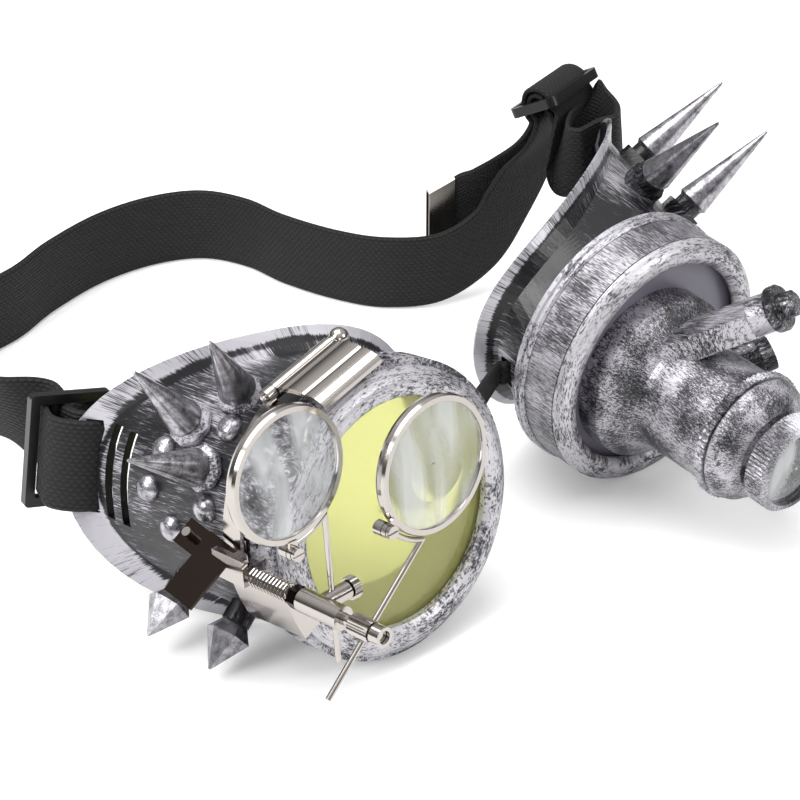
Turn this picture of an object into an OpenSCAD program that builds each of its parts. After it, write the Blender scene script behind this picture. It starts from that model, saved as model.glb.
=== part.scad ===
// Spiked riding goggles: two flared eye cups joined by a nose strap and an
// elastic head strap. The left cup has a slatted lens ring and a clip-on
// double loupe; the right cup has a capped front with a small scope.
// Frame: X along the line through the two cups, -Y forward, +Z up, Z = 0 on
// the table that the goggles lie on.
// Inside a cup: x to the right, y back towards the wearer, z up, and the
// origin is the centre of the front ring's edge.

/* [Cups] */
// Radius of the left lens ring's front edge
bezel_r = 31; // [30:0.5:33]
// Radius of the clear opening in the left ring
bezel_open_r = 25; // [22:0.5:26.5]
// How far the rounded ring bulges forward
bezel_bulge = 2.4; // [1.5:0.1:3.5]
// Radius over the slats of the left ring
slat_r = 32.5; // [32.2:0.1:33]
// Number of slanted slats
slat_n = 44; // [30:1:60]
// Wall of the moulded cups
wall = 1.8; // [1.4:0.1:2.4]
// Radius of the left cup behind its ring
left_neck_r = 30.5; // [30:0.1:31]
// Radius of the right cup behind its flange
right_neck_r = 29.6; // [29:0.1:30.5]
// Length of the flared lip at the back of a cup
lip_len = 4; // [3:0.5:5]
// How far the lip flares outward
lip_out = 4.6; // [3:0.2:6]

/* [Right front] */
// Radius of the right cap and of its rounded ring
cap_r = 31.4; // [30.5:0.1:32]
// Length of the cap's brushed wall
cap_len = 9.4; // [8:0.2:11]
// Length of the beaded flange behind the cap
bead_len = 3.8; // [3:0.2:5]
// Radius of the opening in the right ring
right_open_r = 25.6; // [24:0.2:27]
// Radius of the scope's base flange
scope_flange_r = 20.6; // [18:0.2:22]
// Radius of the scope's tube
tube_r = 14.3; // [12:0.1:15]
// Distance from the ring's edge to the toothed ring
tube_reach = 32.4; // [28:0.2:36]
// Radius over the teeth of the scope's ring
tooth_r = 15.8; // [15:0.1:16.5]
// Number of teeth on that ring
tooth_n = 64; // [40:4:80]
// Radius of the knurled eyepiece
eyepiece_r = 11.3; // [10:0.1:12]
// Radius of the eyepiece's open mouth
eyepiece_mouth_r = 9.4; // [8:0.1:9.8]

/* [Studs] */
// Length of a long spike of the left cup
left_spike_len = 19.5; // [14:0.5:21]
// Length of a long spike of the right cup
right_spike_len = 25; // [18:0.5:27]
// Length of a short spike
short_spike_len = 11; // [8:0.5:12]
// Base radius of a long spike
spike_r = 4.1; // [3:0.1:4.6]
// Radius of the screws that hold spikes
stud_screw_r = 1.2; // [0.9:0.1:1.5]
// Radius of a rivet's head
rivet_r = 3; // [2:0.1:3.3]

/* [Straps] */
// Width of the elastic
strap_w = 21; // [18:0.5:22]
// Thickness of the elastic
strap_t = 1.5; // [1.2:0.1:1.8]
// Width of a strap slot in a cup
slot_w = 2.4; // [2:0.1:2.6]
// Number of slots in a cup's side
slot_n = 3; // [1:1:3]
// Distance between slots
slot_pitch = 4.9; // [4.4:0.1:5.2]
// Thickness of the nose strap
nose_t = 1.6; // [1.2:0.1:2]
// Height of the nose strap
nose_h = 6; // [4:0.5:7]

/* [Loupe] */
// Radius of a loupe's ring
loupe_r = 14; // [12:0.1:14.6]
// Width of a loupe's ring
loupe_w = 2.4; // [2:0.1:3]
// Radius of the wire arms
wire_r = 0.6; // [0.5:0.05:0.8]
// Radius of the spindle
spindle_r = 1.2; // [1:0.05:1.4]
// Radius of the spring wire
spring_wire_r = 0.28; // [0.25:0.01:0.32]
// Curls of the spring on the spindle
spring_turns = 11; // [8:1:12]
// Thickness of the clip's sheet steel
sheet = 0.8; // [0.6:0.05:1]

/* [Placing] */
// Height of the left ring's centre above the table
left_z = 33.4; // [33:0.1:34]
// Tilt of the left cup, front up
left_tilt = 10.34; // [8:0.1:12]
// Turn of the left cup
left_yaw = 3.64; // [2:0.1:5]
// Height of the right ring's centre above the table
right_z = 31.35; // [31.3:0.05:32]
// Tilt of the right cup, front down
right_tilt = 5.44; // [4:0.1:7]
// Turn of the right cup
right_yaw = 7.37; // [6:0.1:9]
// Distance between the ring centres, side to side
cup_gap = 91.3; // [90:0.1:93]

/* [Hidden] */
$fn = 72;

// Where the frame's origin lies, measured from the middle between the cups
origin_x = 9.74;
origin_y = 65.84;
left_at = [-43.6 - origin_x, -origin_y, left_z];
right_at = [-43.6 + cup_gap - origin_x, 3.8 - origin_y, right_z];
run_gap = 0.3;
fit_gap = 0.05;

// Colours
silver = [0.62, 0.62, 0.64];
bright = [0.85, 0.84, 0.83];
black = [0.09, 0.09, 0.1];
chrome = [0.78, 0.76, 0.74];
dark_steel = [0.3, 0.27, 0.25];
lens_yellow = [0.92, 0.93, 0.6, 0.6];
clear = [0.8, 0.82, 0.84, 0.5];
lilac_grey = [0.52, 0.5, 0.56];

module in_left() { translate(left_at) rotate([-left_tilt, 0, -left_yaw]) children(); }
module in_right() { translate(right_at) rotate([right_tilt, 0, -right_yaw]) children(); }
// A profile of [radius, y] points turned about the cup's axis
module turned(points) { rotate([-90, 0, 0]) rotate_extrude() polygon(points); }

// One cup's numbers: side, neck radius, neck start, then the rim's oval:
// centre outward and up, half width and half height, and its set-back:
// start, outward slope, upward slope, and how much top and bottom come forward
spigot_from = 3.2;
neck_from = 7.8;
flange_back = cap_len + bead_len + run_gap;
left_cup = [-1, left_neck_r, neck_from, 3.5, 2.8, 36, 31.5, 42.9, 0.5, 0.19, 16];
right_cup = [1, right_neck_r, flange_back, 7.4, 4.5, 41.5, 30, 46.2, 0.6, -0.07, 13.7];
rim_power = 2.3;

function sup(v) = sign(v) * pow(abs(v), 2 / rim_power);
function rim_set(c, u, z) = c[7] + c[8] * u + c[9] * z - c[10] * pow((z - c[4]) / c[6], 2);
// A point of the rim's oval drawn in by d, and moved back by b
function oval(c, a, d, b) =
  let (u = c[3] + (c[5] - d) * sup(cos(a)), z = c[4] + (c[6] - d) * sup(sin(a)),
       ue = c[3] + c[5] * sup(cos(a)), ze = c[4] + c[6] * sup(sin(a)))
  [c[0] * u, rim_set(c, ue, ze) + b, z];
function mix(a, b, t) = a * (1 - t) + b * t;
// A point of the cup's wall, d inside its outer face, t from neck to lip
function wall_at(c, a, t, d) =
  mix([c[0] * (c[1] - d) * cos(a), c[2], (c[1] - d) * sin(a)], oval(c, a, lip_out + d, -lip_len), t);
// The same at distance s behind the ring's edge
function wall_t(c, a, s) = (s - c[2]) / (oval(c, a, lip_out, -lip_len)[1] - c[2]);
function wall_s(c, a, s, d) = wall_at(c, a, wall_t(c, a, s), d);
function unit(v) = v / norm(v);
function wall_out(c, a, s) =
  let (n = cross(wall_s(c, a + 1, s, 0) - wall_s(c, a - 1, s, 0), wall_s(c, a, s + 0.5, 0) - wall_s(c, a, s - 0.5, 0)))
  unit(n * sign(n * [cos(a) * c[0], 0, sin(a)]));

// Rings of points joined into a closed skin; each ring has the same count
module skin(rings, close_ends) {
  n = len(rings[0]);
  m = len(rings);
  last = close_ends ? m - 2 : m - 1;
  faces = [for (i = [0:last], j = [0:n - 1], k = [0, 1])
    let (a = i * n + j, b = i * n + (j + 1) % n, c = ((i + 1) % m) * n + j, d = ((i + 1) % m) * n + (j + 1) % n)
    k == 0 ? [a, b, d] : [a, d, c]];
  caps = close_ends ? [[for (j = [n - 1:-1:0]) j], [for (j = [0:n - 1]) (m - 1) * n + j]] : [];
  polyhedron(points = [for (r = rings) each r], faces = concat(faces, caps), convexity = 8);
}
module facing(dir) {
  // Turns +Z to the direction dir
  rotate([0, acos(dir[2] / norm(dir)), atan2(dir[1], dir[0])]) children();
}

cup_sides = 60;
body_steps = 6;
module cup_skin(c, front) {
  angles = [for (i = [0:cup_sides - 1]) i * 360 / cup_sides * c[0]];
  ts = [for (i = [0:body_steps]) i / body_steps];
  outer = [for (t = ts) [for (a = angles) wall_at(c, a, t, 0)]];
  lip = [[for (a = angles) oval(c, a, lip_out * 0.45, -lip_len * 0.5)],
    [for (a = angles) oval(c, a, 0, -0.7)],
    [for (a = angles) oval(c, a, 0.3, 0)],
    [for (a = angles) oval(c, a, wall * 0.8, 0)],
    [for (a = angles) oval(c, a, lip_out * 0.5 + wall, -lip_len * 0.45)]];
  inner = [for (i = [body_steps:-1:0]) [for (a = angles) wall_at(c, a, ts[i], wall)]];
  nose = [for (p = front) [for (a = angles) [c[0] * p[0] * cos(a), p[1], p[0] * sin(a)]]];
  skin(concat(outer, lip, inner, nose), false);
}

// The temple frame of a cup: at the strap slot nearest the lip, z along the
// slot, y back and x inward on the left cup, outward on the right one
slot_turn = 12;
left_slot_lean = 7;
slot_len = strap_w + 0.6;
slot_s = [for (c = [left_cup, right_cup]) oval(c, slot_turn, lip_out, -lip_len)[1] - slot_w / 2 - 0.4];
left_slot = wall_s(left_cup, slot_turn, slot_s[0], 0);
right_slot = wall_s(right_cup, slot_turn, slot_s[1], 0);
module at_left_temple() { translate(left_slot) rotate([left_slot_lean, slot_turn, 0]) children(); }
module at_right_temple() { translate(right_slot) rotate([0, -slot_turn, 0]) children(); }
module slots() {
  for (i = [0:slot_n - 1]) translate([0, -i * slot_pitch, 0]) cube([9, slot_w, slot_len], center = true);
}
// The same frames as functions, for the straps
function rx(a, v) = [v[0], v[1] * cos(a) - v[2] * sin(a), v[1] * sin(a) + v[2] * cos(a)];
function ry(a, v) = [v[0] * cos(a) + v[2] * sin(a), v[1], v[2] * cos(a) - v[0] * sin(a)];
function rz(a, v) = [v[0] * cos(a) - v[1] * sin(a), v[0] * sin(a) + v[1] * cos(a), v[2]];
function left_dir(v) = rz(-left_yaw, rx(-left_tilt, v));
function right_dir(v) = rz(-right_yaw, rx(right_tilt, v));
function left_pt(v) = left_at + left_dir(v);
function right_pt(v) = right_at + right_dir(v);
function left_temple_dir(v) = left_dir(ry(slot_turn, rx(left_slot_lean, v)));
function left_temple_pt(v) = left_pt(left_slot + ry(slot_turn, rx(left_slot_lean, v)));
function right_temple_dir(v) = right_dir(ry(-slot_turn, v));
function right_temple_pt(v) = right_pt(right_slot + ry(-slot_turn, v));

// Studs: angle up from the outer side, distance behind the ring's edge, and
// how far the stud leans from square on: outward, back, up
left_long = [[43, 31, [0, 0, 0.3]], [62, 24, [0.1, -0.33, 0]], [28, 24, [0, 0, 0]]];
left_short = [[-31, 36, [0, 0, 0]], [-38, 22, [0, 0, 0]]];
left_rivet = [[12, 40, [0, 0, 0]], [12.5, 22.5, [0, 0, 0]], [-1, 33.5, [0, 0, 0]], [30, 36.5, [0, 0, 0]],
  [46.5, 21.3, [0, 0, 0]]];
right_long = [[34, 47, [0.1, 0, 0.42]], [64, 28, [-0.35, -0.45, 0]], [31, 25.5, [0.1, 0, 0.42]]];
module at_wall(c, stud) { translate(wall_s(c, stud[0], stud[1], 0)) facing(wall_out(c, stud[0], stud[1])) children(); }
module leaning(c, stud) {
  // From the wall's square direction to the leaning one, at the same point
  translate(wall_s(c, stud[0], stud[1], 0)) facing(unit(wall_out(c, stud[0], stud[1]) + [c[0] * stud[2][0], stud[2][1], stud[2][2]]))
    children();
}
module screw_holes(c, studs) {
  for (p = studs) leaning(c, p) translate([0, 0, -5]) cylinder(r = stud_screw_r + 0.35, h = 9, $fn = 24);
}
// The nose strap passes through a slit in the nose side of each cup
nose_left_at = [14, 3];
nose_right_at = [18.5, -3];
module nose_slit(c, at) {
  translate([wall_s(c, 180, at[0], 0)[0], at[0], at[1]]) cube([9, nose_t + 2, nose_h + 1.6], center = true);
}

spigot_r = left_neck_r - 1.1;
module left_cup_shell() {
  color(silver) in_left() difference() {
    cup_skin(left_cup, [[spigot_r - wall, spigot_from], [spigot_r, spigot_from], [spigot_r, neck_from - 0.1]]);
    at_left_temple() slots();
    screw_holes(left_cup, concat(left_long, left_short));
    nose_slit(left_cup, nose_left_at);
  }
}

// Left lens ring: slats behind, rounded bezel in front, lens and gasket inside
slat_back = neck_from - run_gap;
slat_front = 0.9;
slat_core_r = slat_r - 1.3;
ring_bore_r = spigot_r + run_gap;
lens_r = bezel_open_r + 2.4;
lens_t = 2;
module left_slat_ring() {
  pitch = 360 / slat_n;
  color(silver) in_left() difference() {
    turned([[ring_bore_r, 2.6], [lens_r + 0.6, 2.6], [lens_r + 0.6, slat_front], [slat_r, slat_front],
      [slat_r, slat_back], [ring_bore_r, slat_back]]);
    for (i = [0:slat_n - 1])
      rotate([0, i * pitch, 0]) translate([slat_core_r + 2, (slat_front + slat_back) / 2, 0]) rotate([35, 0, 0])
        cube([4, 5.2, 1.9], center = true);
  }
}
module left_bezel() {
  arc = [for (i = [0:8]) [mix(bezel_r, bezel_open_r, i / 8), -bezel_bulge * pow(sin(180 * (0.06 + 0.8 * i / 8)), 0.7)]];
  color(silver) in_left() turned(concat([[bezel_r, slat_front]], arc, [[bezel_open_r, slat_front - 0.6], [bezel_open_r + 1, slat_front]]));
}
lens_front = slat_front + fit_gap;
module left_lens() {
  color(lens_yellow) in_left() turned([[0, lens_front], [lens_r, lens_front], [lens_r, lens_front + 1.6], [0, lens_front + lens_t]]);
}
module left_lens_gasket() {
  color(black) in_left() turned([[lens_r - 3, lens_front + lens_t + fit_gap], [lens_r + 0.4, lens_front + 1.6 + fit_gap],
    [spigot_r - wall, spigot_from - run_gap], [lens_r - 3, spigot_from + 0.4]]);
}

// Spikes: a cone on a faceted collar, held by a screw from inside the wall.
// Every foot is sunk a little so that its rim meets the curved wall.
collar_h = 2.6;
module sink(c, d) {
  // Cuts off what would reach into the cup's wall
  difference() {
    children();
    cup_skin_solid(c, d);
  }
}
module cup_skin_solid(c, d) {
  angles = [for (i = [0:cup_sides - 1]) i * 360 / cup_sides * c[0]];
  skin([for (i = [0:body_steps]) [for (a = angles) wall_at(c, a, i / body_steps, -d)]], true);
}
module cone_spike(length) {
  rotate_extrude($fn = 48) polygon([[0, 0], [spike_r * 0.85, 0], [spike_r, 0.8], [0.35, length], [0, length + 0.2]]);
}
module screw_bore(h) { translate([0, 0, -6]) cylinder(r = stud_screw_r + fit_gap, h = h + 12, $fn = 24); }
module left_spikes() {
  color(bright) in_left() for (p = left_long) leaning(left_cup, p) translate([0, 0, collar_h + fit_gap])
    cone_spike(left_spike_len);
}
module left_spike_collars() {
  color(silver) in_left() sink(left_cup, fit_gap) for (p = left_long) leaning(left_cup, p) difference() {
    rotate_extrude($fn = 8) polygon([[0, -1.6], [4, -1.6], [5, 0.6], [5, 1.5], [3.9, collar_h], [0, collar_h]]);
    screw_bore(collar_h);
  }
}
short_collar_h = 4.2;
module left_short_spikes() {
  color(bright) in_left() for (p = left_short) leaning(left_cup, p) translate([0, 0, short_collar_h + fit_gap])
    rotate_extrude($fn = 6) polygon([[0, 0], [3, 0], [5.1, 3], [0.3, short_spike_len], [0, short_spike_len]]);
}
module left_short_collars() {
  color(black) in_left() sink(left_cup, fit_gap) for (p = left_short) leaning(left_cup, p) difference() {
    translate([0, 0, -1]) cylinder(r = 3.2, h = short_collar_h + 1);
    screw_bore(short_collar_h);
  }
}
module left_rivets() {
  dome = [for (i = [0:7]) [rivet_r * cos(i * 90 / 8), 0.3 + 2.2 * sin(i * 90 / 8)]];
  color(bright) in_left() sink(left_cup, fit_gap) for (p = left_rivet) at_wall(left_cup, p)
    rotate_extrude() polygon(concat([[0, -0.6], [rivet_r, -0.6]], dome, [[0, 2.5]]));
}
// A pan-head screw: head against the inside of the wall, tip in the spike
module inside_screw(c, p, reach) {
  head = wall + 1 + 2.7 * norm(p[2]);
  leaning(c, p) {
    translate([0, 0, -head - 0.7]) cylinder(r = 2.5, h = 0.7, $fn = 32);
    translate([0, 0, -head - 0.2]) cylinder(r = stud_screw_r, h = head + 0.2 + reach, $fn = 24);
  }
}
module left_spike_screws() {
  color(dark_steel) in_left() {
    for (p = left_long) inside_screw(left_cup, p, collar_h);
    for (p = left_short) inside_screw(left_cup, p, short_collar_h);
  }
}

// A strip of thickness t along a smooth closed path of [x, y] points
function spline(p, i, t) =
  let (n = len(p), a = p[(i - 1 + n) % n], b = p[i % n], c = p[(i + 1) % n], d = p[(i + 2) % n])
  0.5 * (2 * b + (c - a) * t + (2 * a - 5 * b + 4 * c - d) * t * t + (3 * b - a - 3 * c + d) * t * t * t);
module loop_strip(path, t, steps) {
  pts = [for (i = [0:len(path) - 1], k = [0:steps - 1]) spline(path, i, k / steps)];
  n = len(pts);
  side = [for (i = [0:n - 1]) let (v = unit(pts[(i + 1) % n] - pts[(i - 1 + n) % n])) [v[1], -v[0]]];
  difference() {
    polygon([for (i = [0:n - 1]) pts[i] - side[i] * t / 2]);
    polygon([for (i = [0:n - 1]) pts[i] + side[i] * t / 2]);
  }
}
// The loop goes out through the slot nearest the lip, round the buckle's
// centre bar and back inside the lip; path in the temple frame
left_bar = [-2.9, 12.3];
loop_turn = 1.1 + 0.1 + strap_t / 2;
left_loop = concat([[2.2, -0.1], [0.2, -0.1], [-1.8, 0.4], [-4, 1.7], [-6.1, 3.7], [-7, 6.2], [-6.3, 9]],
  [for (a = [180:-36:0]) left_bar + loop_turn * [cos(a), sin(a)]],
  [[-0.8, 9.4], [-0.4, 7.2], [1.2, 5.4], [3, 3.6], [3.8, 1.8], [3.5, 0.5]]);
module left_strap_loop() {
  color(black) in_left() at_left_temple() translate([0, 0, -strap_w / 2]) linear_extrude(strap_w)
    loop_strip(left_loop, strap_t, 3);
}
// Buckle: a thin frame with a centre bar, its long side turned inward
buckle_turn = -11.5;
buckle_h = strap_w + 5;
buckle_rim = 2.2;
buckle_t = 2.4;
buckle_bar_x = 4.6;
buckle_end_x = 16.5;
module rounded_plate(x0, x1, h, t, r) {
  // Face in the X-Z plane, thickness along Y
  rotate([90, 0, 0]) translate([0, 0, -t / 2]) linear_extrude(t) hull() for (x = [x0 + r, x1 - r], z = [r - h / 2, h / 2 - r])
    translate([x, z]) circle(r = r, $fn = 24);
}
module in_buckle() {
  translate([left_bar[0], left_bar[1], 0]) rotate([0, 0, buckle_turn]) translate([-buckle_bar_x, 0, 0]) children();
}
module left_buckle() {
  bar_h = buckle_h - 2 * buckle_rim;
  color(black) in_left() at_left_temple() in_buckle() {
    difference() {
      rounded_plate(-buckle_rim / 2, buckle_end_x + 1.2, buckle_h, buckle_t, 1);
      translate([buckle_rim / 2, -3, -bar_h / 2]) cube([buckle_end_x - 1.2 - buckle_rim / 2, 6, bar_h]);
    }
    translate([buckle_bar_x, 0, -bar_h / 2 - 1]) cylinder(r = 1.1, h = bar_h + 2, $fn = 32);
  }
}

// Clip of the double loupe: a steel band round the cup's neck with an upper
// jaw that arches over the lens ring and a lower jaw in front of it
spine_r = left_neck_r + 2.9;
spine_from = 8.4;
spine_to = 14;
module arc_band(r, t, y0, y1, a0, a1) {
  // A band of radius r and thickness t between two angles, from +x upward
  rotate([-90, 0, 0]) translate([0, 0, y0]) rotate([0, 0, -a1]) rotate_extrude(angle = a1 - a0)
    translate([r, 0]) square([t, y1 - y0]);
}
jaw_clear = slat_r + 0.6;
jaw_angle = 106;
jaw_len = 16.6;
jaw_pin_y = 11.6;
jaw_pin_h = jaw_clear + 1.6;
jaw_pin_r = 0.9;
module at_jaw() { in_left() rotate([0, 90 - jaw_angle, 0]) children(); }
module along_jaw(x, h) { translate([x, jaw_pin_y, jaw_pin_h]) rotate([0, 90, 0]) translate([0, 0, 0]) cylinder(r = h[0], h = h[1], $fn = 32); }
module clip_spine() {
  color(chrome) {
    in_left() arc_band(spine_r, sheet, spine_from, spine_to, 121, 186);
    at_jaw() difference() {
      along_jaw(-jaw_len / 2 - 2.4, [1.8, 2.2]);
      along_jaw(-jaw_len, [jaw_pin_r + fit_gap, jaw_len * 2]);
    }
  }
}
// The jaw's section: [y, height over the ring's centre], ribbed on top
function jaw_arch(f, lift) = let (a = 24 + 124 * f) [3.6 + 9.2 * cos(a), jaw_clear - 1.2 + lift + 4 * sin(a)];
module jaw_section() {
  outer = [for (i = [0:30]) jaw_arch(i / 30, sheet + 0.45 * pow(abs(sin(540 * i / 30)), 0.6))];
  inner = [for (i = [30:-1:0]) jaw_arch(i / 30, 0)];
  polygon(concat(outer, inner));
}
module clip_upper_jaw() {
  color(chrome) at_jaw() difference() {
    union() {
      translate([-jaw_len / 2, 0, 0]) rotate([90, 0, 90]) linear_extrude(jaw_len) jaw_section();
      along_jaw(-jaw_len / 2, [1.8, jaw_len]);
    }
    along_jaw(-jaw_len, [jaw_pin_r + fit_gap, jaw_len * 2]);
  }
}
module clip_jaw_pin() {
  color(chrome) at_jaw() {
    along_jaw(-jaw_len / 2 - 3, [jaw_pin_r, jaw_len + 4]);
    along_jaw(jaw_len / 2 + 0.2, [1.5, 1]);
    translate([jaw_len / 2 + 2.6, jaw_pin_y, jaw_pin_h]) sphere(r = 2.2, $fn = 40);
  }
}
lower_jaw_from = 188;
lower_jaw_to = 206;
module clip_lower_jaw() {
  r = slat_r + 0.6;
  color(chrome) in_left() {
    arc_band(r, sheet, -3.9, spine_to, lower_jaw_from, lower_jaw_to);
    arc_band(r - 4.5, 4.5 + sheet, -3.9 + 0 * r, -3.9 + sheet, lower_jaw_from, lower_jaw_to);
  }
}
// Two wire hooks from the band that grip the neck
hook_r = 0.5;
hook_y = [10, 13];
module clip_wire_hooks() {
  r = left_neck_r + 1.3;
  color(chrome) in_left() {
    for (y = hook_y) rotate([-90, 0, 0]) translate([0, 0, y]) rotate([0, 0, -186]) {
      rotate_extrude(angle = 12) translate([r, 0]) circle(r = hook_r, $fn = 20);
      translate([r - hook_r, 0, 0]) rotate([0, 90, 0]) cylinder(r = hook_r, h = spine_r - r + hook_r - fit_gap, $fn = 20);
      rotate([0, 0, 12]) translate([r, 0, 0]) sphere(r = hook_r, $fn = 20);
    }
    rotate([-90, 0, 0]) rotate([0, 0, -174]) translate([r, 0, hook_y[0]]) cylinder(r = hook_r, h = hook_y[1] - hook_y[0], $fn = 20);
  }
}
// Lever plate: a dark polished fin that stands off the band, with an ear that
// carries the thumb screw; u runs outward and down, v back along the cup
plate_at = [-34.5, 8.6, 3.1];
plate_u = [-0.8, 0, -0.6];
plate_turn = [0, 0, 0];
module in_plate() {
  // x along u, y back, z toward the fin's upper side
  in_left() translate(plate_at) rotate([15.7, 0, 0]) rotate([0, 143.1, 0]) mirror([0, 0, 1]) children();
}
ear_at = [3.4, 11.4];
thumb_r = 2.7;
module clip_lever_plate() {
  color(dark_steel) difference() {
    in_plate() {
      translate([0.2, 0, -sheet / 2]) cube([15, 8.3, sheet]);
      translate([0.4, 8, -sheet / 2]) cube([6, 6.4, sheet]);
    }
    in_plate() translate([ear_at[0], ear_at[1], -2]) cylinder(r = 1 + fit_gap, h = 4, $fn = 32);
    bracket_form(fit_gap);
  }
}
module knurled(r, depth, n) {
  polygon([for (i = [0:n - 1], k = [0, 1]) let (a = 360 * (i + k / 2) / n, q = k == 0 ? r : r - depth) [q * cos(a), q * sin(a)]]);
}
module clip_thumb_screw() {
  color(chrome) in_plate() translate([ear_at[0], ear_at[1], 0]) {
    translate([0, 0, -sheet / 2 - 4.3]) linear_extrude(3.9) knurled(thumb_r, 0.25, 30);
    translate([0, 0, -sheet / 2 - 0.6]) cylinder(r = 1, h = sheet + 3, $fn = 32);
  }
}

// Spindle and its two arms; Z runs forward along the spindle, X to the
// right and Y up
spindle_at = [-35.3, 4, -0.9];
bracket_len = 4.6;
spring_len = 11.8;
collar_from = 12.4;
clamp_from = 15;
clamp_to = 26.5;
left_plane = 19;
right_plane = 31.1;
right_clamp_from = 29.3;
right_clamp_to = 34.8;
nut_from = 35.3;
module on_spindle() { in_left() translate(spindle_at) rotate([94.2, 0, 2.2]) children(); }
module rod(z0, z1, r) { translate([0, 0, z0]) cylinder(r = r, h = z1 - z0, $fn = 40); }
bore_gap = 0.06;
module spindle_bore() { rod(-20, 60, spindle_r + bore_gap); }
// The bracket's outer form, grown by g
module bracket_form(g) {
  on_spindle() {
    rod(-bracket_len - g, g - 0.4, 2.1 + g);
    translate([-2.1 - g, -2.1 - g, -9.6 - g]) cube([1.6, 6, 9.2] + 2 * g * [1, 1, 1]);
    translate([-2.1 - g, 0.8 - g, -bracket_len - g]) cube([3.1, 3.1, 2] + 2 * g * [1, 1, 1]);
  }
}
module spindle_bracket() {
  color(chrome) difference() {
    bracket_form(0);
    on_spindle() rod(-bracket_len - 1, 1, spindle_r + fit_gap);
    in_left() rotate([-90, 0, 0]) translate([0, 0, -6]) cylinder(r = spine_r + sheet + fit_gap, h = 26);
  }
}
module spindle() { color(chrome) on_spindle() rod(-bracket_len - 0.2, nut_from + 1.6, spindle_r); }
spring_r = 2.15 - spring_wire_r;
spring_pitch = (spring_len - 2 * spring_wire_r - 0.4) / spring_turns;
function spring_ring(k) =
  let (a = 45 * k, z = 0.2 + spring_wire_r + spring_pitch * k / 8)
  [for (i = [0:5]) let (q = 60 * i) [(spring_r + spring_wire_r * cos(q)) * cos(a), (spring_r + spring_wire_r * cos(q)) * sin(a),
    z + spring_wire_r * sin(q)]];
module swing_spring() { color(chrome) on_spindle() skin([for (k = [0:spring_turns * 8]) spring_ring(k)], true); }
echo(spring_self_gap = spring_pitch - 2 * spring_wire_r);
module spring_collar() {
  color(dark_steel) on_spindle() difference() {
    translate([0, 0, collar_from]) cylinder(r = 2.5, h = 2.1, $fn = 6);
    rod(0, 20, spindle_r + fit_gap);
  }
}
cross_x = 4.2;
post_to = 8;
clamp_r = 2.5;
module left_arm_clamp() {
  color(chrome) on_spindle() difference() {
    union() {
      rod(clamp_from, clamp_to, clamp_r);
      translate([0, 0, left_plane]) rotate([0, 90, 0]) cylinder(r = 1.9, h = post_to, $fn = 40);
    }
    spindle_bore();
    translate([cross_x, 0, left_plane - 0.1]) rotate([90, 0, 0]) translate([0, 0, -5]) cylinder(r = wire_r + fit_gap, h = 10, $fn = 24);
    translate([cross_x + wire_r + 0.3, 0, left_plane]) rotate([0, 90, 0]) cylinder(r = 0.9 + fit_gap, h = 10, $fn = 32);
  }
}
module left_arm_screw() {
  color(chrome) on_spindle() translate([0, 0, left_plane]) rotate([0, 90, 0]) {
    translate([0, 0, cross_x + wire_r + 0.4]) cylinder(r = 0.9, h = post_to - cross_x - wire_r, $fn = 32);
    translate([0, 0, post_to + 0.3]) linear_extrude(1.9) knurled(2.4, 0.2, 26);
  }
}
left_loupe_at = [-4.5, 30.7];
right_loupe_at = [22.1, 25.8];
left_lug_a = 266;
right_lug_a = 209.6;
right_loupe_r = loupe_r + 0.3;
wire_out = 0.3 + wire_r;
lug_out = 1.9;
lug_r = 1.5;
pin_r = 0.7;
function lug_at(c, r, a) = c + (r + lug_out) * [cos(a), sin(a)];
module loupe_frame(c, z, r, a) {
  // A ring with an ear in front of the arm's eye, pivoted on the lug screw
  lug = lug_at(c, r, a);
  difference() {
    union() {
      translate([c[0], c[1], z]) rotate_extrude() polygon([[r - 1.2, -loupe_w / 2], [r - 0.3, -loupe_w / 2], [r, -0.5], [r, 0.5],
        [r - 0.3, loupe_w / 2], [r - 1.4, loupe_w / 2], [r - 1.4, 0.9], [r - 1, 0.9], [r - 1, -0.8], [r - 1.2, -0.8]]);
      translate([lug[0], lug[1], z + 0.9]) cylinder(r = lug_r, h = 1.1, $fn = 32);
      translate([c[0], c[1], z + 0.9]) rotate([0, 0, a]) translate([r - 0.6, -1, 0]) cube([lug_out + 0.6, 2, 0.6]);
    }
    translate([lug[0], lug[1], z - 3]) cylinder(r = pin_r + bore_gap, h = 8, $fn = 32);
  }
}
module loupe_glass(c, z, r) {
  translate([c[0], c[1], z]) rotate_extrude() polygon([[0, -1.2], [r * 0.5, -1], [r - 1.05, -0.75], [r - 1.05, 0.85], [r * 0.5, 1.5],
    [0, 1.7]]);
}
module lug_screw(c, z, r, a) {
  lug = lug_at(c, r, a);
  translate([lug[0], lug[1], z]) difference() {
    union() {
      translate([0, 0, -1.6]) cylinder(r = pin_r, h = 4, $fn = 32);
      translate([0, 0, 2.1]) cylinder(r = 1.4, h = 0.8, $fn = 32);
    }
    translate([-2, -0.2, 2.5]) cube([4, 0.4, 1]);
  }
}
module arm_eye(c, z, r, a, b) {
  // The wire follows the ring from angle a to the eye at angle b
  lug = lug_at(c, r, b);
  difference() {
    union() {
      translate([c[0], c[1], z - 0.1]) rotate([0, 0, min(a, b)]) rotate_extrude(angle = abs(a - b)) translate([r + wire_out, 0])
        circle(r = wire_r, $fn = 20);
      translate([lug[0], lug[1], z - 1.4]) cylinder(r = lug_r, h = 2.1, $fn = 32);
    }
    translate([lug[0], lug[1], z - 3]) cylinder(r = pin_r + fit_gap, h = 8, $fn = 32);
  }
}
left_end_a = -acos((cross_x - left_loupe_at[0]) / (loupe_r + wire_out));
left_wire_top = left_loupe_at[1] + (loupe_r + wire_out) * sin(left_end_a);
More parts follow.
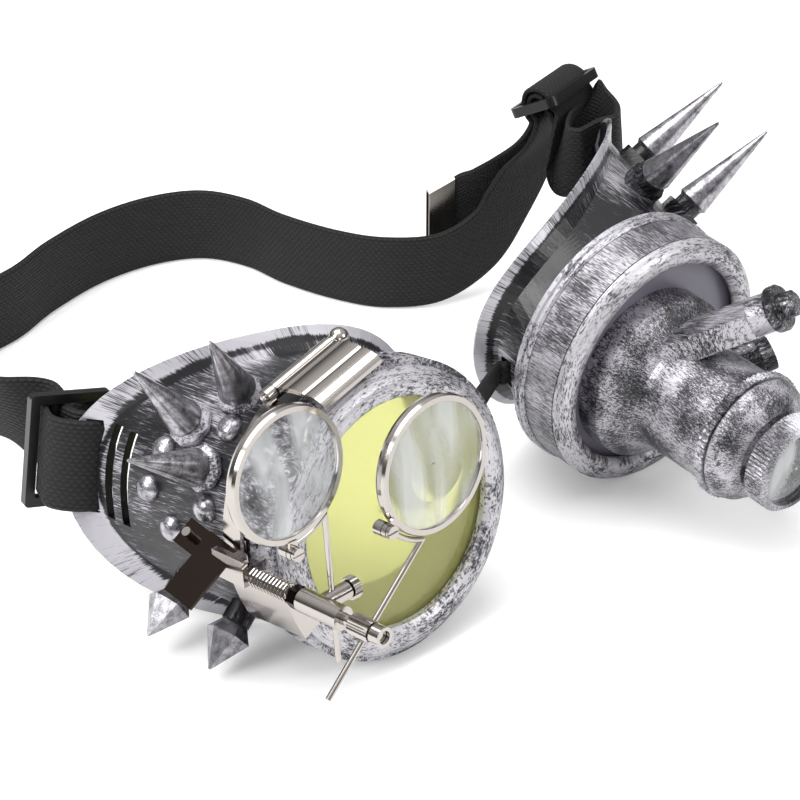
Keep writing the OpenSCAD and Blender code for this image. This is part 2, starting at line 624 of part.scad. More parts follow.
module left_arm() {
  color(chrome) on_spindle() {
    translate([cross_x, -14.5, left_plane - 0.1]) rotate([-90, 0, 0]) cylinder(r = wire_r, h = 14.5 + left_wire_top, $fn = 24);
    translate([cross_x, left_wire_top, left_plane - 0.1]) sphere(r = wire_r, $fn = 20);
    arm_eye(left_loupe_at, left_plane, loupe_r, 360 + left_end_a, left_lug_a);
  }
}
module left_loupe_ring() { color(chrome) on_spindle() loupe_frame(left_loupe_at, left_plane, loupe_r, left_lug_a); }
module left_loupe_lens() { color(clear) on_spindle() loupe_glass(left_loupe_at, left_plane, loupe_r); }
module left_lug_screw() { color(chrome) on_spindle() lug_screw(left_loupe_at, left_plane, loupe_r, left_lug_a); }
right_arm_a = 39.5;
right_arm_off = 2.2 + fit_gap + wire_r;
right_arm_u = [cos(right_arm_a), sin(right_arm_a)];
right_aside = right_loupe_at * [-right_arm_u[1], right_arm_u[0]] + right_arm_off;
right_wire_len = right_loupe_at * right_arm_u - sqrt(pow(right_loupe_r + wire_out, 2) - pow(right_aside, 2));
right_end_a = right_arm_a + 180 + asin(right_aside / (right_loupe_r + wire_out));
module right_arm_clamp() {
  color(chrome) on_spindle() difference() {
    translate([0, 0, right_clamp_from]) linear_extrude(right_clamp_to - right_clamp_from) knurled(2.2, 0.15, 24);
    spindle_bore();
    translate([0, 0, right_plane - 0.1]) rotate([0, 0, right_arm_a]) translate([1.9, 0, 0]) rotate([0, 90, 0]) cylinder(r = 0.5, h = 9);
  }
}
module right_arm() {
  // The wire lies against the clamp and runs on behind it as a tail
  color(chrome) on_spindle() {
    translate([0, 0, right_plane - 0.1]) rotate([0, 0, right_arm_a]) translate([-15, -right_arm_off, 0]) rotate([0, 90, 0])
      cylinder(r = wire_r, h = 15 + right_wire_len, $fn = 24);
    translate([0, 0, right_plane - 0.1]) rotate([0, 0, right_arm_a]) translate([right_wire_len, -right_arm_off, 0])
      sphere(r = wire_r, $fn = 20);
    arm_eye(right_loupe_at, right_plane, right_loupe_r, right_end_a, right_lug_a);
  }
}
module right_loupe_ring() { color(chrome) on_spindle() loupe_frame(right_loupe_at, right_plane, right_loupe_r, right_lug_a); }
module right_loupe_lens() { color(clear) on_spindle() loupe_glass(right_loupe_at, right_plane, right_loupe_r); }
module right_lug_screw() { color(chrome) on_spindle() lug_screw(right_loupe_at, right_plane, right_loupe_r, right_lug_a); }
module spindle_end_nut() {
  color(chrome) on_spindle() difference() {
    rod(nut_from, nut_from + 2.5, 2.1);
    rod(nut_from - 1, nut_from + 1.65, spindle_r + fit_gap);
    rod(nut_from + 1, nut_from + 4, 1.35);
  }
}

// Right cup: the shell's spigot carries a flange and a cap; the bezel turns
// in the cap, and the disc closes the front
right_spigot_r = right_neck_r - 0.4;
right_spigot_from = 5.6;
disc_r = right_spigot_r - wall - fit_gap;
module right_cup_shell() {
  color(silver) in_right() difference() {
    cup_skin(right_cup, [[right_spigot_r - wall, right_spigot_from], [right_spigot_r, right_spigot_from],
      [right_spigot_r, flange_back - 0.1]]);
    at_right_temple() slots();
    screw_holes(right_cup, right_long);
    nose_slit(right_cup, nose_right_at);
  }
}
module right_bead_flange() {
  r = cap_r + 0.7;
  b = right_spigot_r + fit_gap;
  y = cap_len + 0.05;
  color(silver) in_right() turned([[b, y], [r - 0.5, y], [r, y + 0.4], [r, y + 1.3], [r - 0.7, y + 1.7], [r, y + 2.1],
    [r, y + bead_len - 0.6], [r - 0.5, y + bead_len - 0.1], [b, y + bead_len - 0.1]]);
}
skirt_r = right_spigot_r - 0.75;
module right_cap() {
  color(silver) in_right() turned([[skirt_r + run_gap, run_gap], [cap_r, run_gap], [cap_r, cap_len],
    [right_spigot_r + fit_gap, cap_len], [right_spigot_r + fit_gap, right_spigot_from - 0.3], [skirt_r + run_gap, right_spigot_from - 0.3]]);
}
module right_bezel() {
  n = 10;
  arc = [for (i = [0:n]) let (a = 180 * (0.04 + 0.86 * i / n)) [mix(cap_r, right_open_r, i / n), -3.1 * pow(sin(a), 0.6)]];
  color(silver) in_right() turned(concat([[cap_r, 0]], arc, [[right_open_r, -0.6], [right_open_r + 0.6, 0.1], [skirt_r - 0.7, 0.7],
    [skirt_r - 0.7, 4.6], [skirt_r, 4.6], [skirt_r, 0]]));
}
scope_at = [-1.5, 0, -2];
scope_bore_r = tube_r - 2.8;
module on_scope() { in_right() translate(scope_at) children(); }
disc_front = 1.1;
disc_t = 1.8;
lock_r = tube_r + 1.7;
module right_disc() {
  color(lilac_grey) difference() {
    in_right() turned([[0, disc_front], [disc_r - 0.4, disc_front], [disc_r - 0.4, right_spigot_from - 0.3], [disc_r, right_spigot_from - 0.3],
      [disc_r, 9], [disc_r - 1.4, 9], [disc_r - 1.4, disc_front + disc_t], [0, disc_front + disc_t]]);
    on_scope() turned([[0, -1], [lock_r + fit_gap, -1], [lock_r + fit_gap, 10], [0, 10]]);
  }
}
module scope_lock_ring() {
  y = disc_front + disc_t + fit_gap;
  color(dark_steel) on_scope() turned([[lock_r + fit_gap, y], [lock_r + 4, y], [lock_r + 4, y + 2], [lock_r + fit_gap, y + 2]]);
}
tooth_y = -tube_reach;
tooth_w = 2.2;
collar_y = tooth_y - tooth_w / 2 - run_gap;
module scope_base() {
  y = disc_front - fit_gap;
  back = disc_front + disc_t + 2.2;
  front = tooth_y + tooth_w / 2 + run_gap;
  color(silver) on_scope() turned([[scope_bore_r, back], [lock_r, back], [lock_r, y], [scope_flange_r, y],
    [scope_flange_r, -4.6], [scope_flange_r - 0.8, -5.8], [scope_flange_r - 3, -8], [tube_r + 1.2, -10], [tube_r + 0.2, -11.6],
    [tube_r, -13], [tube_r, front], [tube_r - 1, front], [tube_r - 1, collar_y + 0.05], [tube_r - 1.6, collar_y + 0.05],
    [tube_r - 1.6, collar_y - 2.4], [scope_bore_r, collar_y - 2.4]]);
}
module scope_tooth_ring() {
  color(silver) on_scope() translate([0, tooth_y - tooth_w / 2, 0]) rotate([-90, 0, 0]) difference() {
    linear_extrude(tooth_w) knurled(tooth_r, 0.6, tooth_n);
    translate([0, 0, -1]) cylinder(r = tube_r - 1 + run_gap, h = tooth_w + 2);
  }
}
collar_front = collar_y - 6.6;
neck_r = 8.3;
eye_back = collar_front - 2.2;
module scope_collar() {
  r = tooth_r - 0.6;
  b = tube_r - 1.6 + fit_gap;
  color(silver) on_scope() turned([[neck_r - 1.4, collar_front + 3], [b - 1.6, collar_y - 2.6], [b, collar_y - 2.5], [b, collar_y], [r - 0.4, collar_y],
    [r, collar_y - 0.6], [r - 0.7, collar_y - 2.6], [r - 2.6, collar_y - 4.9], [r - 5, collar_front], [neck_r, collar_front - 0.4],
    [neck_r, eye_back - 2.2], [neck_r - 1.4, eye_back - 2.2]]);
}
eye_len = 5.6;
module eyepiece() {
  m = eyepiece_mouth_r;
  color(silver) on_scope() {
    translate([0, eye_back, 0]) rotate([90, 0, 0]) difference() {
      linear_extrude(eye_len - 0.8) knurled(eyepiece_r, 0.35, 72);
      translate([0, 0, -1]) cylinder(r = neck_r + run_gap, h = 3.8);
      cylinder(r = m - 1.2, h = eye_len);
      translate([0, 0, 3.4]) cylinder(r = m, h = 3);
    }
    turned([[m, eye_back - eye_len + 0.85], [eyepiece_r - 0.2, eye_back - eye_len + 0.85], [eyepiece_r - 0.9, eye_back - eye_len],
      [m, eye_back - eye_len]]);
  }
}
module eyepiece_lens() {
  r = eyepiece_mouth_r - fit_gap;
  y = eye_back - 3.45;
  color(clear) on_scope() turned([[0, y], [r, y], [r, y - 1], [r * 0.5, y - 1.5], [0, y - 1.7]]);
}
lever_dir = unit([0.42, -0.69, 0.6]);
lever_root = [-0.5, -14.5, 16.5];
lever_len = 19;
module on_lever() { on_scope() translate(lever_root) facing(lever_dir) children(); }
module tube_clear() {
  on_scope() turned([[0, -40], [tube_r + fit_gap, -40], [tube_r + fit_gap, -13], [tube_r + 0.25, -11.6],
    [tube_r + 1.25, -10], [scope_flange_r - 2.9, -8.05], [scope_flange_r + 0.1, -5.7], [scope_flange_r + 0.1, 0], [0, 0]]);
}
module lever_arm() {
  color(silver) difference() {
    on_lever() {
      translate([-3, -5, -8]) cube([6, 10, 8]);
      translate([-3, -4.8, 0]) cube([6, 9.6, lever_len - 4.4]);
      translate([0, 0, lever_len - 4.6]) cylinder(r = 4.6, h = 4.6);
      translate([0, 0, lever_len - 1]) cylinder(r = 1.4, h = 3.2, $fn = 32);
    }
    tube_clear();
  }
}
module lever_end_cap() {
  color(dark_steel) on_lever() difference() {
    translate([0, 0, lever_len + 0.3]) rotate_extrude() polygon([[0, 0], [5.2, 0], [5.4, 0.5], [5.4, 2.2], [4.8, 2.9], [3.2, 2.9], [3, 5.4],
      [2.2, 6], [0, 6]]);
    translate([0, 0, lever_len - 1]) cylinder(r = 1.4 + run_gap, h = 3.6, $fn = 32);
  }
}
port_dir = unit([0.85, -0.35, 0.4]);
port_root = [tube_r * cos(25), -17, tube_r * sin(25)];
port_len = 4;
module on_port() { on_scope() translate(port_root) facing(port_dir) children(); }
module side_port() {
  color(dark_steel) difference() {
    on_port() {
      translate([0, 0, -6]) cylinder(r = 5.2, h = port_len + 6);
      translate([0, 0, port_len - 1]) cylinder(r = 1.6, h = 3, $fn = 32);
    }
    tube_clear();
  }
}
module side_knob() {
  color(dark_steel) on_port() difference() {
    translate([0, 0, port_len + 0.3]) linear_extrude(3) knurled(4.7, 0.3, 28);
    translate([0, 0, port_len - 1]) cylinder(r = 1.6 + run_gap, h = 3.4, $fn = 32);
  }
}
nut_h = 4;
collar2_h = 2;
module right_spikes() {
  color(bright) in_right() for (p = right_long) leaning(right_cup, p) translate([0, 0, nut_h + collar2_h + fit_gap])
    cone_spike(right_spike_len);
}
module right_spike_nuts() {
  color(black) in_right() sink(right_cup, fit_gap) for (p = right_long) leaning(right_cup, p) difference() {
    union() {
      translate([0, 0, -1]) cylinder(r = 5, h = nut_h + 1, $fn = 6);
      translate([0, 0, nut_h - 0.1]) cylinder(r = 3.4, h = collar2_h + 0.1, $fn = 40);
    }
    screw_bore(nut_h + collar2_h);
  }
}
module right_spike_screws() {
  color(dark_steel) in_right() for (p = right_long) inside_screw(right_cup, p, nut_h + collar2_h);
}

// A band of width w and thickness t along [x, y, z] points, its width turned
// to the matching directions
function smooth(p, i, t) =
  let (a = p[max(i - 1, 0)], b = p[i], c = p[i + 1], d = p[min(i + 2, len(p) - 1)])
  0.5 * (2 * b + (c - a) * t + (2 * a - 5 * b + 4 * c - d) * t * t + (3 * b - a - 3 * c + d) * t * t * t);
function smoothed(p, steps) = [for (i = [0:len(p) - 2], k = [0:steps - 1]) smooth(p, i, k / steps), p[len(p) - 1]];
module band(pts, dirs, w, t) {
  n = len(pts);
  skin([for (i = [0:n - 1])
    let (f = unit(pts[min(i + 1, n - 1)] - pts[max(i - 1, 0)]), s = unit(dirs[i]), u = unit(cross(f, s)), p = pts[i],
      e = w / 2 - t / 4)
    [p + s * w / 2, p + s * e - u * t / 2, p - s * e - u * t / 2, p - s * w / 2, p - s * e + u * t / 2, p + s * e + u * t / 2]], true);
}
// Nose strap: through a slit in each cup, with a stop inside
nose_l = [wall_s(left_cup, 180, nose_left_at[0], 0)[0], nose_left_at[0], nose_left_at[1]];
nose_r = [wall_s(right_cup, 180, nose_right_at[0], 0)[0], nose_right_at[0], nose_right_at[1]];
module nose_strap() {
  path = [left_pt(nose_l - [wall + 3, 0, 0]), left_pt(nose_l), left_pt(nose_l + [3, 0, 0]),
    right_pt(nose_r - [3, 0, 0]), right_pt(nose_r), right_pt(nose_r + [wall + 4.4, 0, 0])];
  dirs = [left_dir([0, 0, 1]), left_dir([0, 0, 1]), left_dir([0, 0, 1]), right_dir([0, 0, 1]), right_dir([0, 0, 1]),
    right_dir([0, 0, 1])];
  color(black) {
    band(smoothed(path, 4), smoothed(dirs, 4), nose_h, nose_t);
    in_left() translate(nose_l - [wall + 2.7, 0, 0]) cube([2, 5.6, nose_h + 2.4], center = true);
    in_right() translate(nose_r + [wall + 4, 0, 0]) cube([2, 5.6, nose_h + 2.4], center = true);
  }
}
// Head strap: sewn round the buckle's end bar, along the table on its edge,
// up through the slider, round the right slot and back through the slider
low_z = strap_w / 2 + 0.25;
slider_at = [103 - origin_x, 81.5 - origin_y, 59.8];
slider_turn = [-27, 0, 12];
function slider_pt(v) = slider_at + rz(slider_turn[2], rx(slider_turn[0], v));
function plan(x, y, z) = [x - origin_x, y - origin_y, z];
bar_at = [left_bar[0] + (buckle_end_x - buckle_bar_x) * cos(buckle_turn),
  left_bar[1] + (buckle_end_x - buckle_bar_x) * sin(buckle_turn), 0];
bar_turn_r = 1.7 + 0.15 + strap_t / 2;
function round_bar(a) = left_temple_pt(bar_at + bar_turn_r * [cos(a), sin(a), 0]);
slider_bar_r = 1.5 + 0.2 + strap_t / 2;
slider_out_r = slider_bar_r + strap_t + 0.2;
function over_bar(r, a) = slider_pt([0, r * cos(a), r * sin(a)]);
up = [0, 0, 1];
across = [-0.978, -0.208, 0];
slot_dir = right_temple_dir([0, 0, -1]);
buckle_dir = left_temple_dir(up);
// Between the slider's direction and the slot's
function turned_dir(q) = unit(across * cos(q) + slot_dir * sin(q));
// Each row: a point of the strap's middle and the direction of its width
strap_rows = [
  [left_temple_pt(bar_at + [-3.9, 8.1, 0]), buckle_dir],
  [left_temple_pt(bar_at + [-0.8, 4.9, 0]), buckle_dir],
  [round_bar(50), buckle_dir], [round_bar(0), buckle_dir], [round_bar(-50), buckle_dir],
  [round_bar(-100), buckle_dir], [round_bar(-150), buckle_dir], [round_bar(-195), buckle_dir],
  [left_temple_pt(bar_at + [-5.6, 6, 0]), buckle_dir],
  [plan(-69.3, 82, 32), buckle_dir], [plan(-72.6, 91, 33.5), [-0.2, -0.2, 0.95]],
  [plan(-72, 101, 31), [-0.25, -0.25, 0.92]], [plan(-66, 112, 25.5), [-0.15, -0.2, 0.95]],
  [plan(-58, 122, 19.5), [-0.05, -0.1, 1]], [plan(-51, 131, 14.4), up], [plan(-49.5, 142, 11.3), up],
  [plan(-49, 151, low_z + 0.2), up], [plan(-45, 158, low_z), up], [plan(-33, 164.5, low_z), up],
  [plan(-13.9, 167, low_z), up], [plan(2.6, 172.5, low_z), up], [plan(22.6, 176, low_z), up],
  [plan(40.1, 174, low_z), up], [plan(52.6, 166.7, low_z), up], [plan(57.6, 153.7, low_z), up],
  [plan(57.6, 138.7, low_z), up], [plan(60.6, 121.5, low_z), up], [plan(66.6, 108.5, low_z), up],
  [plan(77.6, 98.5, low_z + 1), [-0.1, 0, 1]], [plan(89, 93, 18), [-0.4, 0, 0.9]],
  [plan(95, 90, 28), [-0.75, 0, 0.55]], [plan(99, 87, 38), [-0.95, 0, 0.25]],
  [plan(102.8, 84.4, 47), across], [slider_pt([0, slider_bar_r + 0.1, -4.6]), across],
  [slider_pt([0, slider_bar_r, -2]), across], [over_bar(slider_bar_r, 15), across], [over_bar(slider_bar_r, 65), across],
  [over_bar(slider_bar_r, 115), across], [over_bar(slider_bar_r, 165), across], [slider_pt([0, -slider_bar_r, -2]), across],
  [slider_pt([0.3, -slider_bar_r - 0.1, -4.5]), across], [plan(106, 76.4, 54.6), turned_dir(18)],
  [plan(109, 75, 52.8), turned_dir(50)], [plan(112, 71.4, 51.2), turned_dir(82)],
  [plan(110.8, 65.8, 50), slot_dir], [right_temple_pt([6, -1.9, 0.3]), slot_dir],
  [right_temple_pt([2.2, -0.1, 0]), slot_dir], [right_temple_pt([-2, 0, 0]), slot_dir],
  [right_temple_pt([-4.6, 0.6, 0]), slot_dir], [plan(93, 68.4, 47.4), turned_dir(80)],
  [plan(94.6, 71.6, 49), turned_dir(56)], [plan(98.4, 74, 52), turned_dir(26)],
  [slider_pt([-0.3, -slider_out_r - 0.2, -4.5]), across], [slider_pt([0, -slider_out_r, -2]), across],
  [over_bar(slider_out_r, 165), across], [over_bar(slider_out_r, 115), across], [over_bar(slider_out_r, 65), across],
  [over_bar(slider_out_r, 15), across], [slider_pt([0, slider_out_r, -2]), across],
  [slider_pt([0, slider_out_r + 0.1, -4.6]), across],
  [plan(102.8, 87.6, 47), across], [plan(99.2, 91.4, 38), [-0.9, 0, 0.35]], [plan(94.5, 96.5, 29.5), [-0.6, 0, 0.8]],
  [plan(88.5, 100.9, 25), [-0.15, 0, 1]], [plan(85, 102.9, 23.2), up], [plan(80.6, 105.2, 21), up]];
strap_steps = 3;
strap_mid = smoothed([for (r = strap_rows) r[0]], strap_steps);
strap_dirs = smoothed([for (r = strap_rows) r[1]], strap_steps);
module head_strap() { color(black) band(strap_mid, strap_dirs, strap_w, strap_t); }
slider_w = strap_w + 5;
slider_d = 14.4;
slider_h = 2.6;
module strap_slider() {
  window = slider_out_r + strap_t / 2 + 0.6 - 1.2;
  color(black) translate(slider_at) rotate(slider_turn) difference() {
    translate([0, 0, -slider_h / 2]) linear_extrude(slider_h) hull() for (x = [-1, 1], y = [-1, 1])
      translate([x * (slider_w / 2 - 2.5), y * (slider_d / 2 - 2.5)]) circle(r = 2.5, $fn = 32);
    for (k = [-1, 1]) translate([-strap_w / 2 - 0.6, k > 0 ? 1.2 : -1.2 - window, -3]) cube([strap_w + 1.2, window, 6]);
    for (k = [-1, 1]) translate([-strap_w / 2 - 0.6, -1.3, k > 0 ? 1 : -3]) cube([strap_w + 1.2, 2.6, 2]);
  }
}
crimp_len = 8;
tail_end = strap_rows[len(strap_rows) - 1][0];
tail_run = unit(strap_mid[len(strap_mid) - 1] - strap_mid[len(strap_mid) - 2]);
module crimp_form(from, to, w, h) {
  band([tail_end - tail_run * from, tail_end + tail_run * to], [up, up], w, h);
}
module end_crimp() {
  slit = strap_t + 0.3;
  color(bright) difference() {
    crimp_form(crimp_len - 0.8, 0.8, strap_w + 1.4, slit + 1);
    crimp_form(crimp_len, 1, strap_w + 0.2, slit);
  }
}

left_cup_shell();
left_slat_ring();
left_bezel();
left_lens();
left_lens_gasket();
left_spikes();
left_spike_collars();
left_short_spikes();
left_short_collars();
left_rivets();
left_spike_screws();
left_strap_loop();
left_buckle();
clip_spine();
clip_upper_jaw();
clip_jaw_pin();
clip_lower_jaw();
clip_wire_hooks();
clip_lever_plate();
clip_thumb_screw();
spindle_bracket();
spindle();
swing_spring();
spring_collar();
left_arm_clamp();
left_arm_screw();
left_arm();
left_loupe_ring();
left_loupe_lens();
left_lug_screw();
right_arm_clamp();
right_arm();
right_loupe_ring();
right_loupe_lens();
right_lug_screw();
spindle_end_nut();
right_cup_shell();
right_bead_flange();
right_cap();
right_bezel();
right_disc();
scope_lock_ring();
scope_base();
scope_tooth_ring();
scope_collar();
eyepiece();
eyepiece_lens();
lever_arm();
lever_end_cap();
side_port();
side_knob();
right_spikes();
right_spike_nuts();
right_spike_screws();
nose_strap();
head_strap();
strap_slider();
end_crimp();
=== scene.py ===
# Looks of the spiked riding goggles, in the order in which they are put together.
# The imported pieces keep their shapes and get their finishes, and the elastic is made anew. Lengths in metres.
import math

import bpy
import numpy as np
from mathutils import Matrix, Vector


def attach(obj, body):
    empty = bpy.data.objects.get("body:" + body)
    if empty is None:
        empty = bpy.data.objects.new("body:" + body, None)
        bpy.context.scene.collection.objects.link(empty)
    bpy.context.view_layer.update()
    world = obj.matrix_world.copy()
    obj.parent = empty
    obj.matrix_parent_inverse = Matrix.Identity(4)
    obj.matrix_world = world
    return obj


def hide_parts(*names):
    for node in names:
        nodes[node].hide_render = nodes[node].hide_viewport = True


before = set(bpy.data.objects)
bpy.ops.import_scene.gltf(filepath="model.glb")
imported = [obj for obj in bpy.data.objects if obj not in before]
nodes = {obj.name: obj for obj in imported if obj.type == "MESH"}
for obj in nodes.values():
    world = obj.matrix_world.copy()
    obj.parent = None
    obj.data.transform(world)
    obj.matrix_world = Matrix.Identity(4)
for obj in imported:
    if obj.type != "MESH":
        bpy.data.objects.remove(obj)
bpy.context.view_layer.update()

# Left cup: a flared shell moulded in black ABS, with slots for the temple loop behind a rolled lip.
# Silver paint is dry-brushed along it by hand, so that the lip and the raised grain are bright
# and the hollows, the slots and the inner face stay black.
LEFT_CUP = ((-0.05334, -0.06584, 0.0334), (math.radians(-10.34), 0, math.radians(-3.64)))
LEFT_LIP = {"side": -1, "start": 0.0429, "out": 0.5, "up": 0.19, "curl": 0.016, "middle": 0.0028, "half": 0.0315}
BLACK_ABS, BARE, THIN, WORN, SILVER = "#19181c", "#0d0c10", "#323035", "#77757b", "#c4c2c8"


def linear(code):
    """sRGB hex to linear: c / 12.92 up to 0.04045, else ((c + 0.055) / 1.055) to the power 2.4."""
    c = np.array([int(code[i : i + 2], 16) / 255 for i in (1, 3, 5)])
    c = np.where(c <= 0.04045, c / 12.92, ((c + 0.055) / 1.055) ** 2.4)
    return (*[float(v) for v in c], 1.0)


def add(tree, kind, inputs=(), out=0, stops=(), **settings):
    """Adds a shader node with its settings and links, and gives back one of its outputs. The inputs are values
    or links, in order or by name, and stops are a ramp's (place, colour) pairs, where a number is a grey."""
    n = tree.nodes.new("ShaderNode" + kind)
    for key, value in settings.items():
        setattr(n, key, value)
    for key, value in (inputs if isinstance(inputs, dict) else dict(enumerate(inputs))).items():
        if isinstance(value, bpy.types.NodeSocket):
            tree.links.new(value, n.inputs[key])
        else:
            n.inputs[key].default_value = value
    if stops:
        marks = n.color_ramp.elements
        while len(marks) < len(stops):
            marks.new(0.5)
        for mark, (place, colour) in zip(marks, stops):
            mark.position = place
            mark.color = linear(colour) if isinstance(colour, str) else (colour, colour, colour, 1)
    return n.outputs[out]


def material(name, colour, **values):
    """A Principled material of that colour, with its tree and its shader. A value is named for its socket."""
    m = bpy.data.materials.new(name)
    m.use_nodes = True
    shader = m.node_tree.nodes["Principled BSDF"]
    shader.inputs["Base Color"].default_value = linear(colour)
    for key, value in values.items():
        shader.inputs[key.replace("_", " ")].default_value = value
    return m, m.node_tree, shader


def dress(names, finish):
    """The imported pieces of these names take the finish."""
    for name in names.split():
        mesh = nodes[name].data
        mesh.materials.clear()
        mesh.materials.append(finish)


def dry_brushed(name, cup, stroke, cover, rough=0.34, patch=70.0, weight=0.5, silver=SILVER, lip=None):
    """Silver paint dry-brushed over black ABS: metallic and bright where the grain is high, glossy black where it
    is low. The grain is noise in the cup's polar coordinates, at the direction from the axis times stroke[0]
    plus a shift of the depth times stroke[1] and the distance from the axis times stroke[2], so that small
    factors give long strokes. To it come patches of that scale and weight, and cover, the share of silver.
    A lip's edge lies at the depth of start - curl times ((height - middle) / half) squared, plus its outward and
    upward slopes. The lip is bright, with a dark line 4 to 5 mm in front of its edge, and walls that face the
    front or the axis are black."""
    m, t, s = material(name, BLACK_ABS)
    turned = {"Vector": add(t, "TexCoord", out="Object"), "Location": cup[0], "Rotation": cup[1]}
    here = add(t, "Mapping", turned, vector_type="TEXTURE")
    flat = add(t, "VectorMath", (here, (1, 0, 1)), operation="MULTIPLY")
    away = add(t, "VectorMath", (flat,), out="Value", operation="LENGTH")
    way = add(t, "VectorMath", (flat,), operation="NORMALIZE")
    way = add(t, "VectorMath", {0: way, "Scale": stroke[0]}, operation="SCALE")
    depth = add(t, "SeparateXYZ", (here,), out=1)
    shift = add(t, "Math", (depth, stroke[1]), operation="MULTIPLY")
    shift = add(t, "Math", (away, stroke[2], shift), operation="MULTIPLY_ADD")
    at = add(t, "VectorMath", (way, add(t, "CombineXYZ", {1: shift})), operation="ADD")
    fine = add(t, "TexNoise", {"Vector": at, "Scale": 1.0, "Detail": 3.0, "Roughness": 0.7})
    finer = add(t, "TexNoise", {"Vector": at, "Scale": 2.7, "Detail": 2.0, "Roughness": 0.6})
    broad = add(t, "TexNoise", {"Vector": here, "Scale": patch, "Detail": 2.0, "Roughness": 0.6})
    grain = add(t, "Math", (fine, 0.55), operation="MULTIPLY")
    grain = add(t, "Math", (finer, 0.45, grain), operation="MULTIPLY_ADD")
    lift = add(t, "Math", (broad, weight, 0.5 * (cover - 0.5) - 0.5 * weight), operation="MULTIPLY_ADD")
    paint = add(t, "Math", (grain, lift), operation="ADD")
    if lip:
        x, y, z = add(t, "SeparateXYZ", (here,)).node.outputs
        arch = add(t, "Math", (z, 1 / lip["half"], -lip["middle"] / lip["half"]), operation="MULTIPLY_ADD")
        arch = add(t, "Math", (arch, arch), operation="MULTIPLY")
        edge = add(t, "Math", (arch, -lip["curl"], lip["start"]), operation="MULTIPLY_ADD")
        edge = add(t, "Math", (x, lip["side"] * lip["out"], edge), operation="MULTIPLY_ADD")
        edge = add(t, "Math", (z, lip["up"], edge), operation="MULTIPLY_ADD")
        past = add(t, "Math", (y, edge), operation="SUBTRACT")
        # 0 at 10 mm in front of the edge, and 1 at the edge
        band = add(t, "Math", (past, 100.0, 1.0), operation="MULTIPLY_ADD")
        band = add(t, "ValToRGB", (band,), stops=[(0.42, 0.5), (0.5, 0.12), (0.58, 0.12), (0.7, 1.0)])
        band = add(t, "Math", (band, 0.34, -0.17), operation="MULTIPLY_ADD")
        paint = add(t, "Math", (paint, band), operation="ADD")
        face = add(t, "NewGeometry", out="True Normal")
        ahead = add(t, "VectorMath", (face, (0, -1, 0)), out="Value", operation="DOT_PRODUCT")
        slots = add(t, "MapRange", (ahead, 0.93, 0.97, 0.0, 0.32))
        paint = add(t, "Math", (paint, slots), operation="SUBTRACT")
        inward = add(t, "VectorMath", (face, flat), out="Value", operation="DOT_PRODUCT")
        inner = add(t, "MapRange", (inward, -0.004, -0.009, 0.0, 0.32))
        paint = add(t, "Math", (paint, inner), operation="SUBTRACT")
        paint = add(t, "Math", (paint, 1.45, -0.22), operation="MULTIPLY_ADD")
    tone = add(t, "ValToRGB", (paint,), stops=[(0.38, BARE), (0.45, THIN), (0.51, WORN), (0.59, silver)])
    t.links.new(tone, s.inputs["Base Color"])
    share = add(t, "ValToRGB", (paint,), stops=[(0.42, 0.0), (0.56, 1.0)])
    t.links.new(add(t, "Math", (share, 0.5), operation="MULTIPLY"), s.inputs["Metallic"])
    t.links.new(add(t, "Math", (share, 0.06, rough), operation="MULTIPLY_ADD"), s.inputs["Roughness"])
    bump = add(t, "Bump", {"Strength": 0.35, "Distance": 0.00015, "Height": paint})
    t.links.new(bump, s.inputs["Normal"])
    return m


left_abs = dry_brushed("dry-brushed ABS, left cup", LEFT_CUP, (120, 150, 0), 0.36, patch=45, weight=0.7, lip=LEFT_LIP)
dress("left_cup_shell", left_abs)

# Left lens ring: a slatted ring and a rounded bezel, moulded in black ABS and turned together on the cup's
# spigot. The brush went round them, so their strokes are short and crowded and more silver shows.
BEZEL_SILVER = "#cdcbd0"
dress("left_slat_ring", dry_brushed("dry-brushed ABS, slats", LEFT_CUP, (30, 700, 700), 0.52))
left_bezel = dry_brushed(
    "dry-brushed ABS, left bezel", LEFT_CUP, (14, 1300, 1500), 0.64, weight=0.4, silver=BEZEL_SILVER
)
dress("left_bezel", left_bezel)

# Left lens: a flat disc cut from cast yellow acrylic, seated in the ring on a rubber gasket.
# The acrylic is clear and glossy with a strong yellow tint, and the rubber is a dull black line round it.
yellow = material("cast yellow acrylic", "#edee9a", Roughness=0.12, Transmission_Weight=0.75, IOR=1.45)[0]
dress("left_lens", yellow)
dress("left_lens_gasket", material("gasket rubber", "#101010", Roughness=0.7)[0])

# Right cup: a flared shell, a beaded flange, a cap and a bezel, all moulded in black ABS and stacked on the
# shell's spigot. Strokes run along the shell and the cap and round the flange and the bezel.
RIGHT_CUP = ((0.03796, -0.06204, 0.03135), (math.radians(5.44), 0, math.radians(-7.37)))
RIGHT_LIP = {"side": 1, "start": 0.0462, "out": 0.6, "up": -0.07, "curl": 0.0137, "middle": 0.0045, "half": 0.03}
right_abs = dry_brushed(
    "dry-brushed ABS, right cup", RIGHT_CUP, (85, 120, 0), 0.34, rough=0.26, patch=40, weight=0.8, lip=RIGHT_LIP
)
dress("right_cup_shell", right_abs)
dress("right_bead_flange", dry_brushed("dry-brushed ABS, flange", RIGHT_CUP, (20, 1500, 900), 0.62, weight=0.4))
dress("right_cap", dry_brushed("dry-brushed ABS, cap", RIGHT_CUP, (120, 300, 0), 0.54, patch=60, weight=0.45))
right_bezel = dry_brushed(
    "dry-brushed ABS, right bezel", RIGHT_CUP, (14, 1300, 1300), 0.64, weight=0.4, silver=BEZEL_SILVER
)
dress("right_bezel", right_bezel)

# Disc of the right cup: a flat plate moulded in grey-lilac ABS, recessed in the bezel and left unpainted.
# It is smooth and half glossy, so it shows one soft reflection.
dress("right_disc", material("moulded grey ABS", "#76727f", Roughness=0.3)[0])

